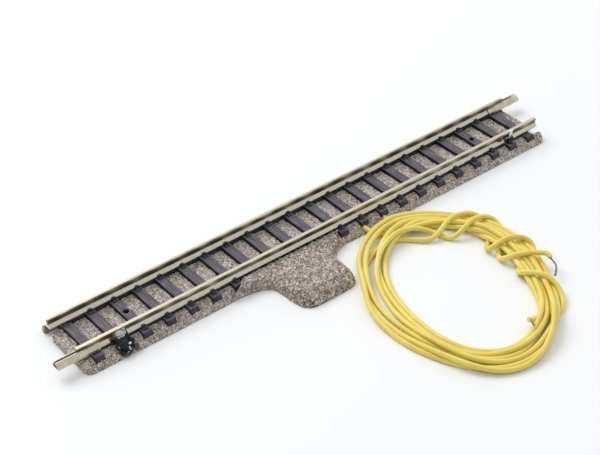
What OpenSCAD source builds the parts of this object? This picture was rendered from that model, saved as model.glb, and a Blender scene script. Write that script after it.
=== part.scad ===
// Straight ballasted model railway track section with a reed contact in a
// side mound and two thin leads wound into a hank.
// Origin: centre of the bed's underside. +X along the track, +Z up.

/* [Track] */
// Length of the rails and of the bed
track_l = 111; // [100:0.5:125]
// Track gauge, between the inner faces of the rail heads
gauge = 9; // [9:0.1:9.2]
// Number of sleepers
sleepers = 22; // [20:2:24]
// Distance from one sleeper to the next
pitch = 4.98; // [4.6:0.02:5.2]
// Width of a sleeper along the track
sleeper_w = 1.9; // [1.7:0.1:2.1]
// Length of a sleeper across the track
sleeper_l = 14; // [13.4:0.1:14.4]
// Height of the sleeper tops above the underside
sleeper_top = 2.25; // [2.2:0.05:2.6]
// Radius of the two track fixing holes
fix_r = 0.6; // [0.4:0.05:0.7]

/* [Rail] */
// Width of the rail head
head_w = 0.8; // [0.7:0.05:1]
// Height of the rail
rail_h = 1.85; // [1.8:0.05:1.9]
// Width of the rail foot
foot_w = 1.5; // [1.4:0.05:1.6]
// Thickness of the rail web
web_t = 0.4; // [0.3:0.05:0.5]

/* [Bed] */
// Width of the ballast bed at its underside
bed_w = 16.1; // [15.8:0.1:17]
// Width of the flat top of the ballast
bed_top_w = 13; // [12.4:0.1:13.4]
// Height of the ballast between the sleepers
bed_h = 1.55; // [1.5:0.05:1.7]
// Height of the upright edge at the foot of the shoulder
bed_edge_h = 0.35; // [0.2:0.05:0.5]
// Height of the ballast between the rails
bed_mid_h = 1.3; // [1.2:0.05:1.55]

/* [Rail joiner] */
// Length of a rail joiner
joiner_l = 8.6; // [7:0.2:10]
// Thickness of the joiner's sheet
joiner_t = 0.15; // [0.12:0.01:0.18]
// Running gap between joiner and rail
joiner_gap = 0.05; // [0.03:0.01:0.08]

/* [Contact mound] */
// Height of the mound
mound_h = 2.35; // [2.3:0.05:2.6]
// Size of the mound's top as a share of its foot
mound_taper = 0.84; // [0.82:0.01:0.9]
// Outer diameter of the reed's glass
reed_d = 1.2; // [1:0.05:1.25]
// Length of the reed's glass
reed_l = 5; // [4.5:0.1:5.4]
// Open gap between the two reed blades
reed_gap = 0.06; // [0.05:0.01:0.08]

/* [Leads] */
// Diameter of a lead over its insulation
lead_d = 1; // [0.9:0.05:1.1]
// Half the long side of the hank, over its outside
hank_a = 23.2; // [22:0.1:23.4]
// Half the short side of the hank, over its outside
hank_b = 17; // [16:0.1:17.2]
// Width of the bundle of turns
hank_w = 4.9; // [4:0.1:6]
// Height of the bundle of turns
hank_h = 4.4; // [3.5:0.1:5]

/* [Hidden] */
$fn = 48;
eps = 0.01;

rail_y = gauge / 2 + head_w / 2;
pad_h = 0.2;                            // pads on the sleepers, under the rail foot
rail_z = sleeper_top + pad_h;
rail_top = rail_z + rail_h;
sleeper_z = 1.0;                        // underside of the sleepers
end_l = track_l / 2;
first_x = -(sleepers - 1) / 2 * pitch;
mound_from = 8;                         // sleepers whose near end the mound covers
mound_to = 11;
mound_y = -6.1;                         // the mound's straight edge beside the rail
fix_n = 3;                              // the fixing holes are in this sleeper from each end
fix_x = -(first_x + (fix_n - 1) * pitch);

// Stringers join the sleepers under the rails
stringer_in = 4.2;
stringer_out = 5.6;
stringer_top = 2.0;
seat_half = 1.4;                        // half width of a joiner's seat in an end sleeper
chair_l = 1.0;
notch_l = 3.0;                          // notch under a bare rail end, for a neighbour's joiner
notch_half = 1.45;

// Solder joints on the near rail, with the strip that links them under the bed
left_joint_x = -46.2;
right_joint_x = 48.1;
strip_w = 0.6;
strip_t = 0.25;
strip_gap = 0.1;
strip_y = -2.5;
riser_y = -6.28;
strip_z = 0.1;                          // underside of the strip
groove_h = 0.5;

corner_r = 1.2;                         // corners of the bed, in plan

// Bays moulded into the underside, beyond the grooves
bays = 10;
bay_rib = 1.4;
bay_y = [1.4, 6.9];
bay_h = 0.5;
bay_end = 4.0;                          // solid length at each end of the bed

// Hollow of the mound
hollow_x = [-14.2, -5.2];
hollow_y = [-16.2, -8.05];
hollow_h = 1.95;
plate_t = 0.3;
play = 0.05;
board_t = 0.3;
board_y = [-14.6, -9.8];
board_top = plate_t + board_t;
track_t = 0.05;
reed_x = -9.7;
reed_y = -13;
reed_z = 1.25;
reed_lead_r = 0.12;
reed_seal_l = 0.6;
blade_t = 0.12;
blade_w = 0.5;
blade_lap = 0.3;                        // reach of a blade past the reed's middle
blade_root = 0.05;                      // clearance between seal and blade
pad_x = [-13.4, -6.0];
pad_y = -10.6;
bead_r = 0.4;

// Bare cores of the leads, in the bed
core_d = 0.3;
core_z = 0.84;
core_groove_w = 0.6;
core_groove_h = 1.0;
exit_x = [7.2, 12.2];
exit_z = 0.85;
exit_r = 0.55;
exit_in_y = -5.8;
core_y = [-5.2, -4.4];

// Hank of the two leads
hank_c = [8.7, -32.4];
hank_turn = 70;                         // direction of the hank's long side
hank_steps = 72;

// Outline of the mound's foot, from its left end to its right end, and back beside the rail
mound_foot = [[-25, -8.05], [-22.5, -8.15], [-20.2, -8.5], [-18.3, -9.1], [-17.1, -10.1], [-16.7, -11.4],
              [-16.5, -13.4], [-16.3, -15.7], [-16, -17.2], [-15.1, -18.4], [-13.4, -18.9], [-6.4, -18.9],
              [-4.5, -18.3], [-3.6, -17.1], [-3.4, -15.5], [-3.2, -12.2], [-2.4, -10.2], [-0.6, -8.8], [2, -8.05],
              [1.5, -7.6], [1.5, mound_y], [-21.4, mound_y], [-21.4, -7.6]];
mound_mid = -10.3;                      // the taper runs towards this point of the straight edge
mound_shoulder = [1.5, 0.95];           // height and size of the mound where its edge starts to round over
sleeper_draft = 0.35;                   // how far a sleeper's end leans out towards its underside

// Routes of the leads from the bed to the hank
lead_a_route = [[7.2, -5.8, 0.85], [7.2, -8.2, 0.85], [7.6, -9.6, 0.75], [8.6, -10.8, 0.62], [10, -11.8, 0.6]];
lead_b_route = [[12.2, -5.8, 0.85], [12.2, -8.2, 0.85], [12.4, -9.8, 0.75], [13.2, -11.4, 0.62], [14.6, -12.6, 0.6]];
// Tinned ends of the leads, on the hank
tip_a = [[25.9, -38, 2.6], [25.5, -40, 2], [23.9, -41.4, 1.4]];
tip_b = [[11.2, -47.4, 2.2], [10.1, -49.4, 2.6]];

function sleeper_x(i) = first_x + i * pitch;
function is_covered(i) = i >= mound_from - 1 && i <= mound_to - 1;
function on_ellipse(a, b, t) = [a * cos(t), b * sin(t)];
function unit(v) = v / norm(v);
function tangent(p, i) = unit(p[min(i + 1, len(p) - 1)] - p[max(i - 1, 0)]);
function side(t) = unit(cross(t, [0, 0, 1]));
function ring_points(p, i, r, n) =
    let (t = tangent(p, i), s = side(t), u = cross(s, t))
    [for (k = [0:n - 1]) p[i] + r * (cos(360 * k / n) * s + sin(360 * k / n) * u)];

// Round tube of n sides swept along the points p
module swept_tube(p, r, n) {
    rings = len(p);
    points = [for (i = [0:rings - 1]) each ring_points(p, i, r, n)];
    walls = [for (i = [0:rings - 2], k = [0:n - 1])
             [i * n + k, i * n + (k + 1) % n, (i + 1) * n + (k + 1) % n, (i + 1) * n + k]];
    caps = [[for (k = [0:n - 1]) n - 1 - k], [for (k = [0:n - 1]) (rings - 1) * n + k]];
    polyhedron(points = points, faces = concat(walls, caps), convexity = 4);
}

// Stretches a cross section, drawn in Y and Z, from x0 to x1
module along_x(x0, x1) {
    translate([x0, 0, 0]) rotate([90, 0, 90]) linear_extrude(x1 - x0) children();
}

module box(x, y, z) {
    translate([x[0], y[0], z[0]]) cube([x[1] - x[0], y[1] - y[0], z[1] - z[0]]);
}

// Straight wire between two points along X or Y, drawn over its corners
module wire_x(x0, x1, y, z, d) {
    translate([min(x0, x1) - d / 2, y, z]) rotate([0, 90, 0]) cylinder(h = abs(x1 - x0) + d, d = d, $fn = 8);
}

module wire_y(x, y0, y1, z, d) {
    translate([x, max(y0, y1) + d / 2, z]) rotate([90, 0, 0]) cylinder(h = abs(y1 - y0) + d, d = d, $fn = 8);
}

module bed_section() {
    half = [[bed_w / 2, bed_edge_h], [bed_top_w / 2, bed_h], [rail_y, bed_h], [rail_y, bed_mid_h]];
    polygon(concat([[-bed_w / 2, 0], [bed_w / 2, 0]], half, [for (k = [3:-1:0]) [-half[k][0], half[k][1]]]));
}

module fixing_holes() {
    for (s = [-1, 1]) translate([s * fix_x, 0, -1]) cylinder(h = 5, r = fix_r);
}

// Room for a strip's riser at each end
module riser_slots(gap) {
    for (x = [left_joint_x, right_joint_x])
        box([x - strip_w / 2 - gap, x + strip_w / 2 + gap],
            [riser_y - strip_t / 2 - gap, riser_y + strip_t / 2 + gap], [-1, 3]);
}

module sleeper_blank(i) {
    near_y = is_covered(i) ? mound_y + 0.05 : -sleeper_l / 2;
    near_draft = is_covered(i) ? 0 : sleeper_draft;
    along_x(sleeper_x(i) - sleeper_w / 2, sleeper_x(i) + sleeper_w / 2)
        polygon([[near_y - near_draft, sleeper_z], [sleeper_l / 2 + sleeper_draft, sleeper_z],
                 [sleeper_l / 2, sleeper_top], [near_y, sleeper_top]]);
}

module stringers() {
    for (s = [-1, 1]) {
        y = s > 0 ? [stringer_in, stringer_out] : [-stringer_out, -stringer_in];
        box([sleeper_x(0), sleeper_x(sleepers - 1)], y, [sleeper_z, stringer_top]);
    }
}

module underside_bays() {
    step = (track_l - 2 * bay_end + bay_rib) / bays;
    for (k = [0:bays - 1]) {
        x = -end_l + bay_end + k * step;
        box([x, x + step - bay_rib], bay_y, [-1, bay_h]);
    }
}

// What rounds off a corner of the bed, in plan
module corner_waste(sx, sy) {
    r = corner_r;
    difference() {
        translate([sx * (end_l - r / 2 + 0.5), sy * (bed_w / 2 - r / 2 + 0.5), 2])
            cube([r + 1, r + 1, 6], center = true);
        translate([sx * (end_l - r), sy * (bed_w / 2 - r), -2]) cylinder(h = 8, r = r);
    }
}

module ballast_bed() {
    color("#b8a695") difference() {
        along_x(-end_l, end_l) bed_section();
        for (sx = [-1, 1], sy = [-1, 1]) corner_waste(sx, sy);
        for (i = [0:sleepers - 1]) sleeper_blank(i);
        stringers();
        // notches for a neighbour's joiners
        box([-end_l - 1, -end_l + notch_l], [rail_y - notch_half, rail_y + notch_half], [-1, 3]);
        box([end_l - notch_l, end_l + 1], [-rail_y - notch_half, -rail_y + notch_half], [-1, 3]);
        fixing_holes();
        underside_bays();
        // strip groove
        box([left_joint_x - strip_w / 2 - strip_gap, right_joint_x + strip_w / 2 + strip_gap],
            [strip_y - strip_w / 2 - strip_gap, strip_y + strip_w / 2 + strip_gap], [-1, groove_h]);
        for (x = [left_joint_x, right_joint_x])
            box([x - strip_w / 2 - strip_gap, x + strip_w / 2 + strip_gap],
                [riser_y - strip_t, strip_y], [-1, groove_h]);
        riser_slots(0.05);
        // grooves of the leads' cores, and the leads' own bores
        for (k = [0, 1]) {
            x_pad = pad_x[1 - k];
            box([x_pad - core_groove_w / 2, exit_x[k] + core_groove_w / 2],
                [core_y[k] - core_groove_w / 2, core_y[k] + core_groove_w / 2], [-1, core_groove_h]);
            box([x_pad - core_groove_w / 2, x_pad + core_groove_w / 2],
                [-bed_w / 2 - 1, core_y[k]], [-1, core_groove_h]);
            box([exit_x[k] - core_groove_w / 2, exit_x[k] + core_groove_w / 2],
                [exit_in_y, core_y[k]], [-1, core_groove_h]);
            translate([exit_x[k], exit_in_y, exit_z]) rotate([90, 0, 0]) cylinder(h = 4, r = exit_r);
        }
    }
}

// Cross section of a chair's clip beside a rail foot, y outwards from the rail's axis
module chair_section() {
    foot = foot_w / 2;
    polygon([[foot + 0.03, -eps], [foot + 0.03, pad_h + 0.26], [foot - 0.1, pad_h + 0.38], [foot - 0.1, pad_h + 0.48],
             [foot + 0.15, pad_h + 0.52], [foot + 0.95, 0.2], [foot + 0.95, -eps]]);
}

module chair(x, y, s) {
    translate([0, y, sleeper_top]) along_x(x - chair_l / 2, x + chair_l / 2) scale([s, 1]) chair_section();
}

// Clips beside the rails and pads under them
module clip_rows() {
    for (i = [1:sleepers - 2], r = [-1, 1]) {
        joint_here = r < 0 && (i == 1 || i == sleepers - 2);
        for (s = [-1, 1]) {
            outer_near = r < 0 && s < 0;
            if (!(outer_near && (joint_here || is_covered(i)))) chair(sleeper_x(i), r * rail_y, s);
        }
        box([sleeper_x(i) - chair_l / 2, sleeper_x(i) + chair_l / 2],
            [r * rail_y - (joint_here ? 0.15 : foot_w / 2 + 0.04), r * rail_y + foot_w / 2 + 0.04],
            [sleeper_top - eps, rail_z]);
    }
}

// Row of cleats between the sleepers, beside the mound
module mound_cleats() {
    for (i = [mound_from - 1:mound_to - 1]) {
        x = sleeper_x(i) + pitch / 2;
        box([x - chair_l / 2, x + chair_l / 2], [mound_y + eps, -stringer_out + 0.1], [bed_h + 0.1, rail_z - 0.15]);
        box([x - chair_l / 2, x + chair_l / 2], [mound_y + eps, -rail_y - foot_w / 2 - 0.05],
            [rail_z - 0.2, sleeper_top + 0.35]);
    }
}

module sleeper_grid() {
    color("#3a363d") difference() {
        union() {
            for (i = [0:sleepers - 1]) sleeper_blank(i);
            stringers();
            clip_rows();
            mound_cleats();
        }
        // seats for the joiners in the end sleepers
        for (i = [0, sleepers - 1], s = [-1, 1])
            box([sleeper_x(i) - sleeper_w, sleeper_x(i) + sleeper_w],
                [s * rail_y - seat_half, s * rail_y + seat_half], [stringer_top, 4]);
        // room for the leads under the ends of two sleepers
        for (x = exit_x) translate([x, exit_in_y + eps, exit_z]) rotate([90, 0, 0]) cylinder(h = 4, r = exit_r);
        riser_slots(0.05);
        fixing_holes();
    }
}

function rail_half() = [[foot_w / 2, 0], [foot_w / 2, 0.2], [web_t / 2, 0.75], [web_t / 2, 1.25],
                        [head_w / 2, 1.4], [head_w / 2, rail_h - 0.08], [head_w / 2 - 0.08, rail_h]];
function mirrored(half) = concat(half, [for (k = [len(half) - 1:-1:0]) [-half[k][0], half[k][1]]]);

module rail_bar() {
    translate([0, 0, rail_z]) along_x(-end_l, end_l) polygon(mirrored(rail_half()));
}

module far_rail() {
    color("#d6cfae") translate([0, rail_y, 0]) rail_bar();
}

module near_rail() {
    color("#d6cfae") difference() {
        translate([0, -rail_y, 0]) rail_bar();
        // the foot is filed away at the two solder joints
        box([-49.2, -45.5], [-rail_y - 2, -rail_y - web_t / 2], [0, rail_z + 0.75]);
        box([46.2, 48.8], [-rail_y - 2, -rail_y - web_t / 2], [0, rail_z + 0.75]);
    }
}

// Folded sheet joiner: outer half outline less inner half outline
module joiner_section() {
    g = joiner_gap;
    t = joiner_t;
    foot = foot_w / 2 + g;
    web = web_t / 2 + g;
    lip = 1.15;
    outer = [[foot + t, -g / 2 - t], [foot + t, 0.31], [web + t, 0.86], [web + t, lip]];
    inner = [[foot, -g / 2], [foot, 0.25], [web, 0.8], [web, lip + eps]];
    difference() {
        polygon(mirrored(outer));
        polygon(mirrored(inner));
    }
}

module rail_joiner(x, y) {
    color("#d9cfa6") translate([0, y, rail_z]) along_x(x - joiner_l / 2, x + joiner_l / 2) joiner_section();
}

module left_rail_joiner() { rail_joiner(-end_l, -rail_y); }

module right_rail_joiner() { rail_joiner(end_l, rail_y); }

// Solder fillet in the rail's outer flank
module solder_fillet(x, l, reach) {
    color("#9c9da2") translate([0, -rail_y - web_t / 2, sleeper_top]) along_x(x - l / 2, x + l / 2)
        polygon([[0, 0.05], [-reach, 0.05], [-reach, 0.3], [-reach * 0.55, 0.85], [-reach * 0.2, 1.3],
                 [0, 1.34]]);
}

module left_solder_joint() { solder_fillet(left_joint_x - 0.7, 2.2, 1.05); }

module right_solder_joint() { solder_fillet(right_joint_x - 0.45, 1.7, 1.05); }

// Beads of black sealant: balls run together, less all that they have flowed round
module sealant_beads(beads, i) {
    color("#151417") difference() {
        union() {
            for (b = beads) translate([b[0], b[1], b[2]]) sphere(r = b[3]);
        }
        sleeper_blank(i);
        stringers();
        along_x(-end_l, end_l) bed_section();
        rail_bond_strip();
        left_solder_joint();
        right_solder_joint();
    }
}

module left_sealant() {
    sealant_beads([[-48.0, -6.25, 2.3, 0.9], [-46.85, -6.85, 2.0, 1.0], [-47.6, -7.55, 1.5, 0.95]], 1);
}

module right_sealant() { sealant_beads([[47.45, -6.05, 2.7, 0.62]], sleepers - 2); }

module rail_bond_strip() {
    color("#b9b4a6") {
        box([left_joint_x - strip_w / 2, right_joint_x + strip_w / 2],
            [strip_y - strip_w / 2, strip_y + strip_w / 2], [strip_z, strip_z + strip_t]);
        for (x = [left_joint_x, right_joint_x]) {
            box([x - strip_w / 2, x + strip_w / 2], [riser_y - strip_t / 2, strip_y],
                [strip_z, strip_z + strip_t]);
            box([x - strip_w / 2, x + strip_w / 2], [riser_y - strip_t / 2, riser_y + strip_t / 2],
                [strip_z, sleeper_top + 0.05]);
        }
    }
}

// The mound about the middle of its straight edge: a steep foot, and a flatter part above it
module mound_body() {
    h = mound_shoulder[0];
    share = mound_shoulder[1];
    linear_extrude(h, scale = share) translate([-mound_mid, -mound_y]) polygon(mound_foot);
    translate([0, 0, h]) linear_extrude(mound_h - h, scale = mound_taper / share)
        scale(share) translate([-mound_mid, -mound_y]) polygon(mound_foot);
}

module mound_cover() {
    color("#a8978a") difference() {
        translate([mound_mid, mound_y, 0]) mound_body();
        along_x(-30, 10) bed_section();
        box(hollow_x, hollow_y, [-1, hollow_h]);
        // way in for the leads' cores
        for (x = pad_x) box([x - core_groove_w / 2, x + core_groove_w / 2], [-9, -7], [-1, core_groove_h]);
    }
}

module mound_base_plate() {
    color("#3b3a3c") box([hollow_x[0] + play, hollow_x[1] - play], [hollow_y[0] + play, hollow_y[1] - play],
                         [0, plate_t]);
}

module contact_board() {
    color("#3f6b45") box([hollow_x[0] + 0.2, hollow_x[1] - 0.2], board_y, [plate_t, board_top]);
}

module board_tracks() {
    color("#b87333") for (x = pad_x)
        box([x - 0.35, x + 0.35], [reed_y - 0.8, pad_y + 0.6], [board_top, board_top + track_t]);
}

// Solder beads, bored for the reed's leads and the cores that they hold
module board_solder_beads() {
    z = board_top + track_t;
    color("#a9aab0") difference() {
        union() {
            for (x = pad_x) {
                translate([x, reed_y, z]) cylinder(h = reed_z + 0.2 - z, r = bead_r);
                translate([x, pad_y, z]) cylinder(h = 0.5, r = bead_r);
            }
        }
        reed_lead_left();
        reed_lead_right();
        lead_a_core();
        lead_b_core();
    }
}

module reed_glass() {
    bore_r = 0.4;
    color("#b9d3c4") translate([reed_x - reed_l / 2, reed_y, reed_z]) rotate([0, 90, 0]) difference() {
        cylinder(h = reed_l, r = reed_d / 2);
        translate([0, 0, reed_seal_l]) cylinder(h = reed_l - 2 * reed_seal_l, r = bore_r);
        translate([0, 0, -1]) cylinder(h = reed_l + 2, r = reed_lead_r);
    }
}

// Round lead from a pad to the inner face of the glass seal
module reed_lead(x_out, x_in) {
    color("#c9c6bb") translate([min(x_out, x_in), reed_y, reed_z]) rotate([0, 90, 0])
        cylinder(h = abs(x_out - x_in), r = reed_lead_r);
}

module reed_lead_left() { reed_lead(pad_x[0] - 0.2, reed_x - reed_l / 2 + reed_seal_l); }

module reed_lead_right() { reed_lead(pad_x[1] + 0.2, reed_x + reed_l / 2 - reed_seal_l); }

// Flat blade, from its root beside the seal to its tip past the reed's middle
module reed_blade(s) {
    root_x = reed_x + s * (reed_l / 2 - reed_seal_l - blade_root);
    tip_x = reed_x - s * blade_lap;
    z = s < 0 ? reed_z + reed_gap / 2 : reed_z - reed_gap / 2 - blade_t;
    color("#cfcbbd") box([min(root_x, tip_x), max(root_x, tip_x)], [reed_y - blade_w / 2, reed_y + blade_w / 2],
                         [z, z + blade_t]);
}

module reed_blade_left() { reed_blade(-1); }

module reed_blade_right() { reed_blade(1); }

// Bare core from a lead's inner end to its pad
module lead_core(k) {
    x_pad = pad_x[1 - k];
    color("#c98f5a") {
        wire_y(exit_x[k], exit_in_y + core_d / 2, core_y[k], core_z, core_d);
        wire_x(x_pad, exit_x[k], core_y[k], core_z, core_d);
        wire_y(x_pad, pad_y, core_y[k], core_z, core_d);
    }
}

module lead_a_core() { lead_core(0); }

module lead_b_core() { lead_core(1); }

module lead_a_tube() { color("#e8d23a") swept_tube(lead_a_route, lead_d / 2, 8); }

module lead_b_tube() { color("#e8d23a") swept_tube(lead_b_route, lead_d / 2, 8); }

module hank_oval(a, b) {
    polygon([for (k = [0:hank_steps - 1]) on_ellipse(a, b, 360 * k / hank_steps)]);
}

module lead_hank() {
    color("#e8d23a") translate([hank_c[0], hank_c[1], 0]) rotate([0, 0, hank_turn]) linear_extrude(hank_h)
        difference() {
            hank_oval(hank_a, hank_b);
            hank_oval(hank_a - hank_w, hank_b - hank_w);
        }
}

module tinned_end(tip) { color("#8d8f95") swept_tube(tip, 0.25, 8); }

module lead_a_tinned_end() { tinned_end(tip_a); }

module lead_b_tinned_end() { tinned_end(tip_b); }

ballast_bed();
sleeper_grid();
far_rail();
near_rail();
left_rail_joiner();
right_rail_joiner();
left_solder_joint();
right_solder_joint();
left_sealant();
right_sealant();
rail_bond_strip();
mound_cover();
mound_base_plate();
contact_board();
board_tracks();
board_solder_beads();
reed_glass();
reed_lead_left();
reed_lead_right();
reed_blade_left();
reed_blade_right();
lead_a_core();
lead_b_core();
lead_a_tube();
lead_b_tube();
lead_hank();
lead_a_tinned_end();
lead_b_tinned_end();
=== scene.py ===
"""Looks of a straight ballasted railway track section with a contact mound and two leads."""
import math

import bpy
import numpy as np
from mathutils import Matrix, Vector


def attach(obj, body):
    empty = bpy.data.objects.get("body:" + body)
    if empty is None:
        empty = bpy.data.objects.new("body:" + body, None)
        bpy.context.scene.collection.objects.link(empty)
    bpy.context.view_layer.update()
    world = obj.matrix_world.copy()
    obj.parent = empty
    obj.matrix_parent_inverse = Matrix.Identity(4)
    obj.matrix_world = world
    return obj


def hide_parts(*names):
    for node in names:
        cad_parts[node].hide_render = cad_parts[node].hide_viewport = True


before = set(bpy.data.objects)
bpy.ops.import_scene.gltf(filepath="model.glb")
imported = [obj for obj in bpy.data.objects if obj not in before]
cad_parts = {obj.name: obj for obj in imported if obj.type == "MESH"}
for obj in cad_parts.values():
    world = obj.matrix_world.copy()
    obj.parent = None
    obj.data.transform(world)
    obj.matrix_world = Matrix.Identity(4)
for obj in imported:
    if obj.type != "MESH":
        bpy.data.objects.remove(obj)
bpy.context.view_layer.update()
MM = 0.001
ROOT = "track"

# Sizes of the track, in millimetres
END = 55.5  # half the rails' length
PITCH = 4.98  # from sleeper to sleeper
SLEEPERS = 22
DRILLED = (3, 20)  # sleepers with a fixing hole
CUT_SHORT = range(8, 12)  # sleepers that end at the mound
SLEEPER_HALF = 7.0
SLEEPER_TOP = 2.25
RAIL_Z = 2.45  # underside of the rails
RAIL_Y = 4.9
FOOT = 0.75  # half the rail's foot
BED_HALF = 8.05  # half the bed's width
BED_TOP = 1.55
BED_MID = 1.3  # ballast between the rails
BED_EDGE = 0.35  # height of the bed's upright edge
CORNER = 1.2  # rounding of the bed's corners, in plan
STRINGER = (4.2, 5.6)  # inner and outer edge of the strips under the rails
DRAFT = 0.35  # lean of a sleeper's end
rng = np.random.default_rng(7)


def placed(name, data):
    """An object holding this data, in the scene."""
    thing = bpy.data.objects.new(name, data)
    bpy.context.scene.collection.objects.link(thing)
    return thing


def declare(piece, replaced=()):
    """Tells the frame what a piece rides on, and hides the CAD nodes it replaces."""
    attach(piece, ROOT)
    if replaced:
        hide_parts(*replaced)
    return piece


def applied(thing):
    """A new mesh of the object with its modifiers applied."""
    bpy.context.view_layer.update()
    return bpy.data.meshes.new_from_object(thing.evaluated_get(bpy.context.evaluated_depsgraph_get()))


# ---------- camera ----------

def make_camera():
    azimuth, elevation, roll = (math.radians(a) for a in (-37.144, 37.275, -1.924))
    distance = 276.28 * MM
    target = Vector((-4.998, -2.923, 4.3)) * MM
    back = Vector((math.sin(azimuth) * math.cos(elevation), -math.cos(azimuth) * math.cos(elevation),
                   math.sin(elevation)))
    right = Vector((0, 0, 1)).cross(back).normalized()
    up = back.cross(right)
    right, up = (right * math.cos(roll) + up * math.sin(roll), up * math.cos(roll) - right * math.sin(roll))
    data = bpy.data.cameras.new("camera")
    data.lens = 87.93
    data.sensor_width = 36
    data.clip_start = 0.01
    camera = placed("camera", data)
    turned = Matrix((right, up, back)).transposed().to_4x4()
    camera.matrix_world = Matrix.Translation(target + back * distance) @ turned
    bpy.context.scene.camera = camera


make_camera()


# ---------- node helpers for materials ----------

def set_stops(ramp, stops):
    """Gives a colour ramp these stops: position, colour."""
    elements = ramp.color_ramp.elements
    while len(elements) < len(stops):
        elements.new(0.5)
    for element, (position, colour) in zip(elements, stops):
        element.position = position
        element.color = (*colour, 1)


class Paint:
    """A material's node tree, with short calls for the nodes used here."""

    def __init__(self, name):
        self.material = bpy.data.materials.new(name)
        self.material.use_nodes = True
        self.tree = self.material.node_tree
        self.shader = self.tree.nodes["Principled BSDF"]
        self.object_space = self.tree.nodes.new("ShaderNodeTexCoord").outputs["Object"]

    def set(self, **sockets):
        for name, value in sockets.items():
            self.feed(self.shader, name.replace("_", " "), value)

    def feed(self, node, name, value):
        if isinstance(value, bpy.types.NodeSocket):
            self.tree.links.new(value, node.inputs[name])
        else:
            node.inputs[name].default_value = value

    def node(self, kind, **inputs):
        node = self.tree.nodes.new("ShaderNode" + kind)
        for name, value in inputs.items():
            self.feed(node, name, value)
        return node

    def stretched(self, scale):
        return self.node("Mapping", Vector=self.object_space, Scale=scale).outputs["Vector"]

    def noise(self, scale, detail=3.0, roughness=0.5, vector=None):
        return self.node("TexNoise", Vector=vector or self.object_space, Scale=scale, Detail=detail,
                         Roughness=roughness).outputs["Fac"]

    def cells(self, scale, output="Color"):
        node = self.node("TexVoronoi", Vector=self.object_space, Scale=scale)
        if output == "Edge":
            node.feature, output = "DISTANCE_TO_EDGE", "Distance"
        return node.outputs[output]

    def attribute(self, name):
        node = self.node("Attribute")
        node.attribute_name = name
        return node.outputs["Fac"]

    def normal(self, axis):
        return self.node("SeparateXYZ", Vector=self.node("NewGeometry").outputs["Normal"]).outputs[axis]

    def ramp(self, value, *stops):
        node = self.node("ValToRGB", Fac=value)
        set_stops(node, [(at, colour if isinstance(colour, tuple) else (colour,) * 3) for at, colour in stops])
        return node.outputs["Color"]

    def mix(self, factor, a, b, blend="MIX"):
        node = self.node("Mix")
        node.data_type = "RGBA"
        node.blend_type = blend
        for index, value in ((0, factor), (6, a), (7, b)):
            self.feed(node, index, (*value, 1) if isinstance(value, tuple) else value)
        return node.outputs[2]

    def maths(self, operation, a, b=0.0):
        node = self.node("Math")
        node.operation = operation
        self.feed(node, 0, a)
        self.feed(node, 1, b)
        return node.outputs[0]

    def bump(self, height, strength, distance):
        node = self.node("Bump", Height=height, Strength=strength, Distance=distance)
        self.tree.links.new(node.outputs["Normal"], self.shader.inputs["Normal"])
        return self


# ---------- materials ----------

def yellow_insulation():
    """Soft plastic sleeve of the leads, with a slow change of yellow along it."""
    p = Paint("yellow_insulation")
    tone = p.noise(180, 2)
    colour = p.ramp(tone, (0.3, (0.80, 0.62, 0.115)), (0.6, (0.86, 0.72, 0.17)), (0.85, (0.90, 0.79, 0.26)))
    p.set(Base_Color=colour, Roughness=p.ramp(p.noise(900), (0.3, 0.38), (0.7, 0.5)))
    p.set(Subsurface_Weight=0.15, Subsurface_Scale=0.4 * MM, Specular_IOR_Level=0.5)
    p.shader.inputs["Subsurface Radius"].default_value = (1.0, 0.75, 0.2)
    return p.bump(p.noise(1600, 4), 0.15, 0.05 * MM).material


def grainy(name, stones, joints, tone_scale, size):
    """Ballast: colour by grain and by depth, from the attributes written on the grain sheets, and fine stones; the
    low places and the lines between stones get painted shade.
    """
    p = Paint(name)
    grain, depth = p.attribute("grain"), p.attribute("depth")
    stone = p.cells(1000 / size)
    edge = p.cells(1000 / size, "Edge")
    colour = p.ramp(p.maths("ADD", p.maths("MULTIPLY", grain, 0.55), p.maths("MULTIPLY", stone, 0.45)), *stones)
    warm = p.ramp(p.noise(tone_scale, 2), (0.35, 0.0), (0.75, 0.3))
    colour = p.mix(warm, colour, (0.82, 0.72, 0.63), "MULTIPLY")
    # painted shade: a dark line along the edges between the fine stones
    colour = p.mix(p.ramp(edge, (0.02, 0.45), (0.10, 0.0)), colour, joints)
    # painted shade: the lower a point lies among the stones, the darker it is painted
    colour = p.mix(p.ramp(depth, (0.12, 0.97), (0.62, 0.0)), colour, joints)
    p.set(Base_Color=colour, Roughness=0.82, Specular_IOR_Level=0.3)
    return p.bump(p.ramp(edge, (0.0, 0.0), (0.3, 1.0)), 0.6, 0.10 * MM).material


def plain_ballast(name, light, dark, scale):
    """Ballast-coloured plastic for surfaces that carry no grain sheet."""
    p = Paint(name)
    cell = p.cells(scale)
    colour = p.mix(cell, dark, light)
    colour = p.mix(p.ramp(p.cells(scale, "Distance"), (0.0, 0.0), (0.9, 0.6)), colour, dark)
    p.set(Base_Color=colour, Roughness=0.85, Specular_IOR_Level=0.25)
    return p.bump(p.cells(scale, "Distance"), 0.5, 0.08 * MM).material


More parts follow.
